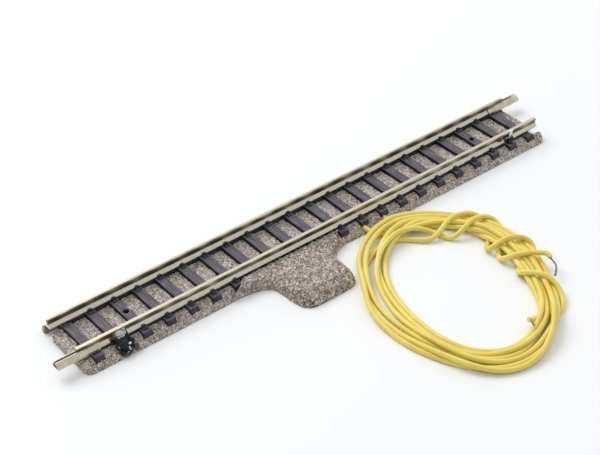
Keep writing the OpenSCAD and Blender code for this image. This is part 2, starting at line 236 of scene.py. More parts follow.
def sleeper_plastic():
    """Wood-grained tops, with painted shade: the ends painted mid-dark and the upright flanks painted near-black."""
    p = Paint("sleeper_plastic")
    streaks = p.noise(1.0, 4, 0.6, p.stretched((4200, 420, 2500)))
    patches = p.noise(420, 3)
    top = p.ramp(streaks, (0.28, (0.036, 0.030, 0.040)), (0.5, (0.112, 0.100, 0.122)),
                 (0.74, (0.27, 0.245, 0.285)))
    top = p.mix(p.ramp(patches, (0.35, 0.0), (0.7, 0.35)), top, (0.13, 0.108, 0.115))
    # painted shade: by the way each face points, the ends get a mid-dark tone and the flanks a near-black one, below
    # the lighter tops
    end = p.ramp(p.noise(900, 3), (0.3, (0.036, 0.032, 0.039)), (0.7, (0.068, 0.061, 0.071)))
    ends = p.ramp(p.maths("ABSOLUTE", p.normal("Y")), (0.6, 0.0), (0.9, 1.0))
    side = p.mix(ends, (0.0065, 0.0055, 0.0075), end)
    p.set(Base_Color=p.mix(p.ramp(p.normal("Z"), (0.45, 0.0), (0.9, 1.0)), side, top),
          Roughness=p.ramp(streaks, (0.3, 0.5), (0.7, 0.68)), Specular_IOR_Level=0.35)
    rough = p.maths("ADD", streaks, p.noise(2600, 3, 0.6))
    return p.bump(rough, 0.8, 0.10 * MM).material


def chair_plastic():
    """Near-black moulding, with painted light making it paler where it faces up."""
    p = Paint("chair_plastic")
    # painted light: faces turned up are painted paler
    facing_up = p.ramp(p.normal("Z"), (0.3, 0.0), (0.95, 0.8))
    tone = p.mix(facing_up, (0.008, 0.007, 0.010), (0.050, 0.046, 0.060))
    p.set(Base_Color=p.mix(p.ramp(p.noise(1500), (0.4, 0.0), (0.8, 0.4)), tone, (0.010, 0.009, 0.012)),
          Roughness=0.48)
    return p.bump(p.noise(3000, 3), 0.3, 0.04 * MM).material


def rail_metal():
    """Nickel silver: bright head and foot, and upright flanks with a painted reflection of the dark track between
    them.
    """
    p = Paint("nickel_silver")
    split = p.node("SeparateXYZ", Vector=p.object_space)
    height = p.maths("MULTIPLY", split.outputs["Z"], 200.0)  # 1 at 5 mm
    # painted reflection: this band of heights marks the upright flanks, which take the dark reflection colour
    flank = p.ramp(height, (0.632, 0.0), (0.652, 1.0), (0.846, 1.0), (0.856, 0.0))
    # painted reflection: each sleeper throws a dark patch on the flank above it
    from_sleeper = p.maths("ADD", split.outputs["X"], PITCH / 2 * MM)
    wave = p.maths("COSINE", p.maths("MULTIPLY", from_sleeper, 2 * math.pi / (PITCH * MM)))
    along = p.maths("ADD", p.noise(1.0, 2, 0.5, p.stretched((75, 900, 900))), p.maths("MULTIPLY", wave, 0.10))
    fine = p.noise(1.0, 3, 0.6, p.stretched((260, 9000, 9000)))
    cuts = p.noise(1.0, 1, 0.5, p.stretched((5200, 60, 60)))
    head = p.ramp(fine, (0.3, (0.63, 0.585, 0.46)), (0.7, (0.74, 0.69, 0.56)))
    foot = p.mix(p.ramp(cuts, (0.42, 0.3), (0.58, 0.0)), (0.70, 0.67, 0.56), (0.50, 0.47, 0.36))
    bright = p.mix(p.ramp(height, (0.75, 0.0), (0.76, 1.0)), foot, head)
    # the painted reflection's colour, from dark brown to mid; the real brown stain is mixed into it further down
    flank_reflection_and_stain = p.ramp(along, (0.36, (0.12, 0.098, 0.060)), (0.50, (0.26, 0.22, 0.145)), (0.64, (0.50, 0.44, 0.31)))
    # painted reflections: the far rail is a little lighter, and the gauge side of its head is dark too
    far = p.maths("GREATER_THAN", split.outputs["Y"], 0.0)
    shaded = p.maths("MULTIPLY", far, p.maths("LESS_THAN", split.outputs["Y"], 4.80 * MM))
    flank = p.maths("MAXIMUM", flank, p.maths("MULTIPLY", shaded, p.maths("GREATER_THAN", height, 0.80)))
    flank_reflection_and_stain = p.mix(p.maths("MULTIPLY", far, 0.12), flank_reflection_and_stain, (0.62, 0.58, 0.50))
    # brown stain beside the left solder joint, between 48.8 and 52.6 mm from the middle
    along_x = p.maths("MULTIPLY", split.outputs["X"], -10.0)
    stain = p.ramp(p.maths("ADD", along_x, p.maths("MULTIPLY", p.noise(700, 2), 0.02)),
                   (0.488, 0.0), (0.494, 1.0), (0.512, 1.0), (0.526, 0.0))
    stain = p.maths("MULTIPLY", stain, p.maths("LESS_THAN", split.outputs["Y"], -5.0 * MM))
    flank_reflection_and_stain = p.mix(p.maths("MULTIPLY", stain, 0.85), flank_reflection_and_stain, (0.16, 0.075, 0.028))
    p.set(Base_Color=p.mix(flank, bright, flank_reflection_and_stain), Metallic=0.85,
          Roughness=p.ramp(fine, (0.3, 0.27), (0.7, 0.36)))
    return p.bump(fine, 0.08, 0.02 * MM).material


def sheet_metal():
    """Folded sheet of the rail joiners, duller than the rails."""
    p = Paint("joiner_sheet")
    tone = p.noise(600, 3)
    p.set(Base_Color=p.ramp(tone, (0.3, (0.56, 0.51, 0.37)), (0.7, (0.76, 0.71, 0.56))), Metallic=0.85,
          Roughness=p.ramp(p.noise(1200), (0.3, 0.28), (0.7, 0.42)))
    return p.bump(p.noise(1800, 3), 0.12, 0.03 * MM).material


def simple(name, light, dark, scale, roughness, metallic=0.0, bump=0.1, **sockets):
    """A material that wanders between two colours, with a fine bump."""
    p = Paint(name)
    colour = p.ramp(p.noise(scale, 3), (0.3, dark), (0.7, light))
    p.set(Base_Color=colour, Roughness=roughness, Metallic=metallic, **sockets)
    return p.bump(p.noise(scale * 3, 3), bump, 0.05 * MM).material


def black_sealant():
    """Melted black plastic, glossy, with a few painted highlights: hard white glints where it faces up."""
    p = Paint("black_sealant")
    # painted highlights: white glints in the colour, only on faces turned up
    spots = p.ramp(p.noise(1000, 1, 0.5), (0.64, 0.0), (0.66, 1.0))
    glints = p.maths("MULTIPLY", spots, p.ramp(p.normal("Z"), (0.25, 0.0), (0.45, 1.0)))
    p.set(Base_Color=p.mix(glints, (0.006, 0.005, 0.006), (0.80, 0.80, 0.82)), Roughness=0.10,
          Specular_IOR_Level=0.35)
    return p.bump(p.noise(1900, 3), 0.5, 0.08 * MM).material


# after the stone colours comes the painted shade colour for the gaps and hollows between stones
BALLAST = grainy("ballast", ((0.0, (0.28, 0.24, 0.21)), (0.35, (0.54, 0.475, 0.42)), (0.62, (0.78, 0.70, 0.635)),
                             (0.95, (0.92, 0.86, 0.80))), (0.075, 0.060, 0.051), 160, 0.40)
MOUND = grainy("mound_ballast", ((0.0, (0.34, 0.28, 0.245)), (0.35, (0.60, 0.51, 0.45)), (0.65, (0.80, 0.70, 0.625)),
                                 (1.0, (0.95, 0.87, 0.80))), (0.085, 0.066, 0.055), 160, 0.50)
BED_PLASTIC = plain_ballast("ballast_plain", (0.50, 0.41, 0.33), (0.22, 0.165, 0.13), 2100)
MOUND_PLASTIC = plain_ballast("mound_plain", (0.44, 0.37, 0.32), (0.20, 0.165, 0.14), 1600)
INSULATION = yellow_insulation()
SLEEPER = sleeper_plastic()
CHAIR = chair_plastic()
RAIL = rail_metal()
SHEET = sheet_metal()
SOLDER = simple("solder", (0.78, 0.78, 0.80), (0.16, 0.16, 0.18), 1300, 0.16, 1.0, 0.3)
STRIP = simple("tinned_strip", (0.92, 0.91, 0.94), (0.74, 0.73, 0.77), 900, 0.3, 0.6)
SEALANT = black_sealant()
FLUX = simple("flux", (0.30, 0.15, 0.05), (0.10, 0.045, 0.02), 1600, 0.22, 0.2, 0.3)
RESIN = simple("resin", (0.10, 0.075, 0.060), (0.035, 0.026, 0.022), 900, 0.12, 0.0, 0.2)
TINNED = simple("tinned_wire", (0.36, 0.37, 0.40), (0.13, 0.13, 0.15), 1500, 0.34, 0.95, 0.2)
COPPER = simple("copper", (0.62, 0.30, 0.17), (0.48, 0.20, 0.10), 900, 0.3, 1.0)
BOARD = simple("board_laminate", (0.10, 0.20, 0.07), (0.06, 0.13, 0.045), 700, 0.5)
ALLOY = simple("reed_alloy", (0.56, 0.54, 0.50), (0.42, 0.40, 0.37), 900, 0.28, 1.0)
PLATE = simple("base_plastic", (0.075, 0.065, 0.060), (0.045, 0.040, 0.038), 500, 0.6)
GLASS = simple("reed_glass", (0.80, 0.92, 0.84), (0.72, 0.86, 0.78), 300, 0.05, 0.0, 0.0, Transmission_Weight=0.9)

NODE_LOOKS = {
    BED_PLASTIC: ("ballast_bed",), RAIL: ("far_rail", "near_rail"), SHEET: ("left_rail_joiner", "right_rail_joiner"),
    STRIP: ("rail_bond_strip",), MOUND_PLASTIC: ("mound_cover",), PLATE: ("mound_base_plate",),
    BOARD: ("contact_board",), COPPER: ("board_tracks",), SOLDER: ("board_solder_beads",), GLASS: ("reed_glass",),
    ALLOY: ("reed_lead_left", "reed_lead_right", "reed_blade_left", "reed_blade_right"),
    TINNED: ("lead_a_core", "lead_b_core"),
}
for look, node_names in NODE_LOOKS.items():
    for node_name in node_names:
        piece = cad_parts[node_name]
        piece.data.materials.clear()
        piece.data.materials.append(look)

for node_name in NODE_LOOKS[RAIL] + NODE_LOOKS[SHEET]:
    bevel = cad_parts[node_name].modifiers.new("edges", "BEVEL")
    bevel.width = 0.035 * MM
    bevel.segments = 2
    bevel.limit_method = "ANGLE"
    bevel.harden_normals = True


# ---------- leads ----------

LEAD_D = 1.0
LEAD_R = LEAD_D / 2
HANK_CENTRE = (8.7, -32.4)
HANK_TURN = math.radians(70)
HANK_A, HANK_B = 20.75, 14.55  # half axes at the middle of the bundle
TURNS = 3
STEP = 0.7  # spacing of a lead's points
FLOOR_LAYER = 0.6  # height at which a lead passes under the others
WRAP_RISE = 1.2  # what the wraps' tops are lifted by before they settle

# Routes out of the bed, as in the CAD model
TAIL_A = [(7.2, -5.8, 0.85), (7.2, -8.2, 0.85), (7.6, -9.6, 0.75), (8.6, -10.8, 0.62), (10, -11.8, 0.6)]
TAIL_B = [(12.2, -5.8, 0.85), (12.2, -8.2, 0.85), (12.4, -9.8, 0.75), (13.2, -11.4, 0.62), (14.6, -12.6, 0.6)]
EXIT_A = (7.2, -BED_HALF, 0.85)
EXIT_B = (12.2, -BED_HALF, 0.85)

# How far outwards the six lanes of the bundle lie, every 30 degrees round it, outermost lane first
LANES = [(3.2, 2.0, 0.9, -0.2, -1.0, -2.2), (2.7, 1.7, 0.9, 0.0, -0.9, -1.7), (2.4, 1.6, 0.8, 0.0, -0.9, -1.9),
         (2.0, 1.2, 0.4, -0.2, -0.9, -1.4), (1.2, 0.8, 0.2, -0.3, -1.0, -1.4), (1.3, 1.0, 0.2, -0.4, -1.2, -2.0),
         (3.0, 1.7, 0.0, -1.2, -1.8, -2.7), (0.8, 0.3, -0.7, -1.7, -2.4, -2.9), (1.2, 0.8, -1.2, -1.9, -2.9, -4.1),
         (3.5, 2.4, 1.4, -1.1, -2.3, -3.0), (3.6, 2.7, 1.5, 0.6, -0.9, -1.8), (3.3, 2.1, 1.1, 0.1, -0.7, -1.3)]

# Which lane each lead keeps to: degrees along the lead, lane
COURSE_A = [(-23, 2.5), (20, 2.5), (90, 5), (180, 3), (270, 2), (330, 1), (450, 1), (540, 1), (600, 0), (740, 0),
            (810, 0), (900, 2), (990, 3), (1050, 4), (1080, 5)]
COURSE_B = [(-5, 3), (90, 4), (180, 5), (330, 5), (370, 4), (450, 3), (540, 4), (630, 4), (690, 3), (720, 2),
            (810, 2), (880, 0), (910, 0), (950, 1), (1000, 1), (1030, 2), (1080, 5)]

# Free ends wound round the bundle: degrees past the last turn, reach outwards, height
WRAP_A = [(8, -3.2, 1.0), (16, -4.3, 0.8), (24, -4.9, 0.9), (30, -4.2, 2.0), (37, -1.6, 3.6), (42, 1.0, 3.9),
          (46, 3.2, 3.2), (50, 3.9, 2.0), (54, 3.3, 1.0), (58, 1.6, 0.6), (63, -0.8, 0.6), (68, -2.9, 0.7),
          (73, -3.6, 1.6), (76, -2.8, 3.2), (79, -0.8, 3.9), (82, 1.4, 3.9), (85, 3.2, 3.3), (88.8, 3.6, 2.6)]
WRAP_B = [(-14, -3.6, 0.7), (-5, -5.7, 0.6), (7, -5.2, 1.0), (15, -3.8, 2.2), (23, -1.2, 3.8), (30, 1.0, 3.9),
          (36, 2.8, 3.2), (41, 3.5, 2.0), (45, 2.8, 1.0), (49, 0.8, 0.6), (53.5, -1.2, 0.6), (57.5, -3.4, 1.0),
          (61, -3.9, 2.4), (64.5, -1.7, 3.7), (68, 1.5, 3.9), (71.5, 3.1, 3.0), (75.5, 3.5, 1.6), (79, 2.0, 0.6),
          (84, -0.6, 0.6), (89, -2.6, 1.2), (92, -2.2, 2.8), (96, -0.3, 3.8), (100, 1.2, 3.8), (106, 2.4, 3.2),
          (113, 2.6, 2.4), (120, 2.2, 1.6), (126, 0.6, 0.8), (132, -1.6, 0.8), (141, -3.2, 2.2)]


def on_hank(phi, off, z):
    """A point of the hank, phi degrees clockwise from its far end and off outwards from the bundle's middle."""
    t = -math.radians(phi)
    x, y = (HANK_A + off) * math.cos(t), (HANK_B + off) * math.sin(t)
    c, s = math.cos(HANK_TURN), math.sin(HANK_TURN)
    return (HANK_CENTRE[0] + c * x - s * y, HANK_CENTRE[1] + s * x + c * y, z)


def first_route(tail, course, wrap, order):
    """The tail, the turns and the wraps of one lead, before it settles."""
    points = list(tail)
    lanes = np.array(LANES + LANES[:1])
    angles, lane_at = np.array(course, float).T
    for phi in np.arange(angles[0] + 4, 360 * TURNS + wrap[0][0] - 8, 8.0):
        around = (phi + np.array([-16, -8, 0, 8, 16])) % 360
        row = [np.interp(around, range(0, 361, 30), lanes[:, k]).mean() for k in range(6)]
        off = np.interp(np.interp(phi, angles, lane_at), range(6), row)
        lifted = 1.3 * math.exp(-((phi % 360 - 333) / 22) ** 2)  # the last turn of lead B slips under here
        layer = 1.8 + 0.6 * (phi / 360) + 0.3 * order + lifted
        if order and phi > 360 * TURNS - 75:
            layer = FLOOR_LAYER
        points.append(on_hank(phi, off, layer))
    for phi, off, z in wrap:
        rise = WRAP_RISE if z > 1.5 and phi < wrap[-3][0] else 0
        points.append(on_hank(360 * TURNS + phi, off, z + rise))
    return np.array(points)


def distances(points):
    """How far along a line of points each point lies."""
    return np.concatenate([[0], np.cumsum(np.linalg.norm(np.diff(points, axis=0), axis=1))])


def evenly(points, step):
    """Catmull-Rom curve through the points, as points a fixed step apart."""
    p = np.vstack([2 * points[0] - points[1], points, 2 * points[-1] - points[-2]])
    t = np.linspace(0, 1, 24, endpoint=False)[:, None]
    dense = []
    for a, b, c, d in zip(p, p[1:], p[2:], p[3:]):
        dense.append(0.5 * (2 * b + (c - a) * t + (2 * a - 5 * b + 4 * c - d) * t ** 2
                            + (3 * b - a - 3 * c + d) * t ** 3))
    dense = np.vstack(dense + [points[-1:]])
    along = distances(dense)
    at = np.linspace(0, along[-1], int(round(along[-1] / step)) + 1)
    return np.stack([np.interp(at, along, dense[:, k]) for k in range(3)], axis=1)


def close_pairs(points, lead, place, reach):
    """Index pairs of points nearer than reach, leaving out neighbours along one lead."""
    gap = points[:, None, :] - points[None, :, :]
    near = np.einsum("ijk,ijk->ij", gap, gap) < reach ** 2
    i, j = np.nonzero(np.triu(near, 1))
    apart = (lead[i] != lead[j]) | (np.abs(place[i] - place[j]) > 3)
    return i[apart], j[apart]


def stiffness(firmness):
    """Matrix of a line's bending, for a firmness given at each point, 0 where it may kink."""
    bend = np.zeros((len(firmness),) * 2)
    for k in np.nonzero(firmness)[0]:
        bend[k, k - 1:k + 2] = np.array([-1, 2, -1]) * math.sqrt(firmness[k])
    return bend.T @ bend


def settle(routes, turn_ends, rounds=180):
    """Lets the leads settle on the floor and on each other, at their own length and thickness."""
    sizes = [len(r) for r in routes]
    lead = np.repeat(range(len(routes)), sizes)
    place = np.concatenate([np.arange(n) for n in sizes])
    points = np.vstack(routes)
    wanted = points.copy()
    joined = np.nonzero(lead[1:] == lead[:-1])[0]
    tail_points = 9
    free = (place >= tail_points) & (place < np.array(sizes)[lead] - 2)
    eased = []  # takes the kinks out: firmly in the turns, less in the wraps
    for size, turn_end in zip(sizes, turn_ends):
        firm = np.interp(range(size), (0, turn_end - 12, turn_end + 2, size), (60, 60, 6, 6))
        firm[[0, 1, -2, -1]] = 0
        eased.append(np.linalg.inv(np.eye(size) + stiffness(firm)))
    starts = np.concatenate([[0], np.cumsum(sizes)])
    spacing = LEAD_D * 1.03
    beside_bed = -BED_HALF - LEAD_R - 0.05
    for round_number in range(rounds):
        if round_number % 6 == 0:
            i, j = close_pairs(points, lead, place, spacing * 1.5)
        late = round_number > rounds * 0.75
        points[free, 2] -= 0.0 if late else 0.03
        points[free, :2] += 0.03 * (wanted - points)[free, :2]
        for first, last, ease in zip(starts, starts[1:], eased):
            smooth = ease @ points[first:last]
            points[first:last] += (0.3 if late else 0.6) * (smooth - points[first:last]) * free[first:last, None]
        for _ in range(4 if late else 2):
            for parity in (0, 1):
                k = joined[parity::2]
                link = points[k + 1] - points[k]
                length = np.linalg.norm(link, axis=1, keepdims=True)
                rest = np.clip(length, 0.93 * STEP, STEP)
                shift = 0.5 * (1 - rest / np.maximum(length, 1e-6)) * link
                points[k] += shift * free[k, None]
                points[k + 1] -= shift * free[k + 1, None]
            gap = points[i] - points[j]
            length = np.linalg.norm(gap, axis=1, keepdims=True)
            push = np.where(length < spacing, 0.5 * (spacing / np.maximum(length, 1e-6) - 1), 0) * gap
            np.add.at(points, i, 0.5 * push * free[i, None])
            np.add.at(points, j, -0.5 * push * free[j, None])
            points[free, 2] = np.maximum(points[free, 2], LEAD_R + 0.01)
            points[free, 1] = np.minimum(points[free, 1], beside_bed)
            # the mound's near corner
            over = np.maximum(0, 7.25 - (0.85 * points[:, 0] - 0.53 * points[:, 1])) * free
            points[:, 0] += 0.85 * over
            points[:, 1] -= 0.53 * over
    for first, last in zip(starts, starts[1:]):
        firm = np.ones(last - first)
        firm[[0, -1]] = 0
        held = np.where(free[first:last], 1.0, 1e4)
        points[first:last] = np.linalg.solve(np.diag(held) + stiffness(firm), held[:, None] * points[first:last])
    points[free, 2] = np.maximum(points[free, 2], LEAD_R)
    return np.split(points, np.cumsum(sizes)[:-1])


def tube(name, radius, resolution, lines, look):
    """A curve object of round section through one or more lines of points."""
    data = bpy.data.curves.new(name, "CURVE")
    data.dimensions = "3D"
    data.bevel_depth = radius * MM
    data.bevel_resolution = resolution
    data.use_fill_caps = True
    for points in lines:
        spline = data.splines.new("POLY")
        spline.points.add(len(points) - 1)
        for point, place in zip(spline.points, points):
            point.co = (*(place * MM), 1)
        spline.use_smooth = True
    data.materials.append(look)
    return placed(name, data)


def tinned_end(letter, path, strands=6, wire=0.075):
    """Twisted bare strands at a lead's end."""
    line = evenly(np.array(path, float), 0.12)
    tangents = np.gradient(line, axis=0)
    tangents /= np.linalg.norm(tangents, axis=1, keepdims=True)
    side = np.cross(tangents, (0.0, 0.0, 1.0))
    side /= np.linalg.norm(side, axis=1, keepdims=True)
    rise = np.cross(side, tangents)
    flare = 1 + 0.5 * (np.arange(len(line)) / len(line)) ** 3
    lines = []
    for k in range(strands):
        spread = 0.0 if k == 0 else 0.11
        turn = 2 * math.pi * k / (strands - 1) + np.arange(len(line)) * 0.22
        lines.append(line + spread * flare[:, None] * (np.cos(turn)[:, None] * side + np.sin(turn)[:, None] * rise))
    return tube(f"lead_{letter}_strands", wire, 3, lines, TINNED)


TIP_A = [(25.9, -38, 2.6), (25.5, -40, 2), (23.9, -41.4, 1.4)]
TIP_B = [(11.2, -47.4, 2.2), (10.1, -49.4, 2.6)]


def make_leads():
    wraps = (WRAP_A, WRAP_B)
    drafts = [first_route(TAIL_A, COURSE_A, WRAP_A, 0), first_route(TAIL_B, COURSE_B, WRAP_B, 1)]
    routes = [evenly(draft, STEP) for draft in drafts]
    wound = [np.linalg.norm(np.diff(draft[-len(wrap):], axis=0), axis=1).sum() for draft, wrap in zip(drafts, wraps)]
    settled = settle(routes, [len(route) - int(length / STEP) - 3 for route, length in zip(routes, wound)])
    for letter, points, leave, tip in (("a", settled[0], EXIT_A, TIP_A), ("b", settled[1], EXIT_B, TIP_B)):
        strands = declare(tinned_end(letter, tip), (f"lead_{letter}_tinned_end",))
        piece = tube("lead_" + letter, LEAD_R, 5, [points], INSULATION)
        declare(piece, (f"lead_{letter}_tube", "lead_hank"))


make_leads()


# ---------- mesh helpers ----------

def mesh_piece(name, points, faces, look, slot, replaced=(), smooth=True, bevel=0.0):
    """A piece from points in millimetres. Without a slot it is only a helper, for a later step."""
    data = bpy.data.meshes.new(name)
    data.from_pydata([tuple(c * MM for c in p) for p in points], [], [tuple(int(i) for i in f) for f in faces])
    data.validate()
    data.update()
    data.polygons.foreach_set("use_smooth", [smooth] * len(data.polygons))
    data.materials.append(look)
    piece = placed(name, data)
    if bevel:
        edges = piece.modifiers.new("edges", "BEVEL")
        edges.width = bevel * MM
        edges.segments = 2
        edges.limit_method = "ANGLE"
    return declare(piece, replaced) if slot else piece


def loft(rings):
    """Points and faces of a closed body through rings of equally many points."""
    n = len(rings[0])
    faces = [(i * n + k, i * n + (k + 1) % n, (i + 1) * n + (k + 1) % n, (i + 1) * n + k)
             for i in range(len(rings) - 1) for k in range(n)]
    faces += [tuple(range(n - 1, -1, -1)), tuple((len(rings) - 1) * n + k for k in range(n))]
    return [p for ring in rings for p in ring], faces


class Heap:
    """Collects bodies into one mesh."""

    def __init__(self):
        self.points, self.faces = [], []

    def add(self, points, faces):
        start = len(self.points)
        self.points += [tuple(p) for p in points]
        self.faces += [tuple(start + i for i in f) for f in faces]

    def piece(self, name, look, slot, **more):
        return mesh_piece(name, self.points, self.faces, look, slot, **more)


def value_noise(points, scale, seed):
    """Smooth noise from -1 to 1 at points given in millimetres."""
    q = np.asarray(points, float) / scale
    base = np.floor(q).astype(np.int64)
    f = q - base
    f = f * f * (3 - 2 * f)
    total = np.zeros(len(q))
    for corner in np.ndindex(*(2,) * q.shape[1]):
        c = np.array(corner)
        weight = np.prod(np.where(c, f, 1 - f), axis=1)
        total += weight * hashed(base + c, seed)
    return total


def hashed(cells, seed):
    """A fixed random number from -1 to 1 for each integer cell."""
    mixed = np.full(len(cells), seed * 7919, np.int64)
    for k, prime in zip(range(cells.shape[1]), (73856093, 19349663, 83492791)):
        mixed = (mixed ^ (cells[:, k] * prime)) & 0x7FFFFFFF
        mixed = (mixed * 1103515245 + 12345) & 0x7FFFFFFF
        mixed ^= mixed >> 13
    return (mixed & 0xFFFFF) / 524287.5 - 1


def grains(points, size, seed):
    """Height from 0 to 1 and tone from 0 to 1 of a layer of stones, at points of a plane or of space."""
    q = np.asarray(points, float) / size
    base = np.floor(q).astype(np.int64)
    first = np.full(len(q), 9.0)
    second = np.full(len(q), 9.0)
    tone = np.zeros(len(q))
    lift = np.zeros(len(q))
    for step in np.ndindex(*(3,) * q.shape[1]):
        cell = base + (np.array(step) - 1)
        jitter = np.stack([hashed(cell, seed + 5 * k) for k in range(q.shape[1])], 1) * 0.42
        turn = hashed(cell, seed + 2) * math.pi
        away = q - (cell + 0.5 + jitter)
        c, s = np.cos(turn), np.sin(turn)
        u, v = away[:, 0] * c + away[:, 1] * s, (away[:, 1] * c - away[:, 0] * s) * 1.35
        near = np.abs(u) ** 2.6 + np.abs(v) ** 2.6
        if q.shape[1] == 3:
            near = near + np.abs(away[:, 2]) ** 2.6
        near = near ** (1 / 2.6)
        closer = near < first
        second = np.where(closer, first, np.minimum(second, near))
        tone = np.where(closer, hashed(cell, seed + 3), tone)
        lift = np.where(closer, hashed(cell, seed + 4), lift)
        first = np.where(closer, near, first)
    dome = np.clip(1 - (first / 0.78) ** 2, 0, 1) ** 0.6
    if q.shape[1] == 3:
        dome = np.clip((second - first) / 0.45, 0, 1) ** 0.6
    joint = np.clip((second - first) / 0.20, 0, 1)
    joint = joint * joint * (3 - 2 * joint)
    return dome * joint * (0.72 + 0.28 * lift), tone * 0.5 + 0.5


def grain_sheet(name, place, lengths, size, height, look, slot, seed, shape, step=0.13, sink=0.02):
    """A closed sheet of stones. place maps two arrays, 0 to 1, to points and outward directions in millimetres;
    shape maps those points to where the stones are drawn from."""
    thickness = 0.12
    coarse = 6  # the underside has one point for this many on top
    nu, nv = (int(round(length / step / coarse)) * coarse for length in lengths)
    u, v = (g.ravel() for g in np.meshgrid(np.linspace(0, 1, nu + 1), np.linspace(0, 1, nv + 1), indexing="ij"))
    ground, out = place(u, v)
    flat = shape(ground)
    stones, tone = grains(flat, size, seed)
    small, small_tone = grains(flat, size * 0.55, seed + 9)
    use_small = small * 0.72 > stones
    stones, tone = np.where(use_small, small * 0.72, stones), np.where(use_small, small_tone, tone)
    rough = 0.06 * value_noise(ground, 0.17, seed + 5)
    level = np.clip(stones + rough, 0, 1.1)
    top = ground + out * (sink + height * level + 0.03 * value_noise(ground, 1.6, seed + 6))[:, None]
    top[:, 2] = np.maximum(top[:, 2], 0.0)
    at = np.arange((nu + 1) * (nv + 1)).reshape(nu + 1, nv + 1)
    low = at[::coarse, ::coarse]
    below = ground[low.ravel()] - out[low.ravel()] * thickness
    below[:, 2] = np.maximum(below[:, 2], 0.0)
    low_at = len(top) + np.arange(low.size).reshape(low.shape)
    corners = ((at[:-1, :-1], at[1:, :-1], at[1:, 1:], at[:-1, 1:]),
               (low_at[:-1, :-1], low_at[:-1, 1:], low_at[1:, 1:], low_at[1:, :-1]))
    faces = [tuple(f) for four in corners for f in np.stack(four, -1).reshape(-1, 4)]
    for edge, low_edge, flip in ((at[:, 0], low_at[:, 0], True), (at[:, -1], low_at[:, -1], False),
                                 (at[0, :], low_at[0, :], False), (at[-1, :], low_at[-1, :], True)):
        for k in range(len(low_edge) - 1):
            ring = list(edge[coarse * k:coarse * (k + 1) + 1]) + [low_edge[k + 1], low_edge[k]]
            faces.append(tuple(ring[::-1] if flip else ring))
    piece = mesh_piece(name, np.vstack([top, below]), faces, look, slot)
    for label, values, filler in (("grain", tone, 0.5), ("depth", level, 0.0)):
        attribute = piece.data.attributes.new(label, "FLOAT", "POINT")
        attribute.data.foreach_set("value", np.append(values, [filler] * len(below)).astype(np.float32))


# ---------- solder, sealant and bare ends ----------

def blob(name, balls, look, replaced=(), voxel=0.07, rounds=4, rough=0.0):
    """One body melted together from balls: x, y, z, radius, and stretches in X, Y and Z."""
    heap = Heap()
    for x, y, z, r, *stretch in balls:
        sx, sy, sz = stretch or (1, 1, 1)
        rings = []
        for t in np.linspace(0.08, math.pi - 0.08, 12):
            rings.append([(x + sx * r * math.sin(t) * math.cos(a), y + sy * r * math.sin(t) * math.sin(a),
                           z - sz * r * math.cos(t)) for a in np.linspace(0, 2 * math.pi, 20, endpoint=False)])
        heap.add(*loft(rings))
    draft = heap.piece(name + "_draft", look, None)
    for kind, settings in (("REMESH", {"mode": "VOXEL", "voxel_size": voxel * MM}),
                           ("SMOOTH", {"iterations": rounds, "factor": 0.6})):
        modifier = draft.modifiers.new(kind.lower(), kind)
        for key, value in settings.items():
            setattr(modifier, key, value)
    data = applied(draft)
    bpy.data.objects.remove(draft)
    if rough:
        places = np.array([v.co[:] for v in data.vertices]) / MM
        shifts = rough * value_noise(places, 0.28, 5)
        for vertex, shift in zip(data.vertices, shifts):
            vertex.co += vertex.normal * float(shift) * MM
    data.polygons.foreach_set("use_smooth", [True] * len(data.polygons))
    data.materials.clear()
    data.materials.append(look)
    declare(placed(name, data), replaced)


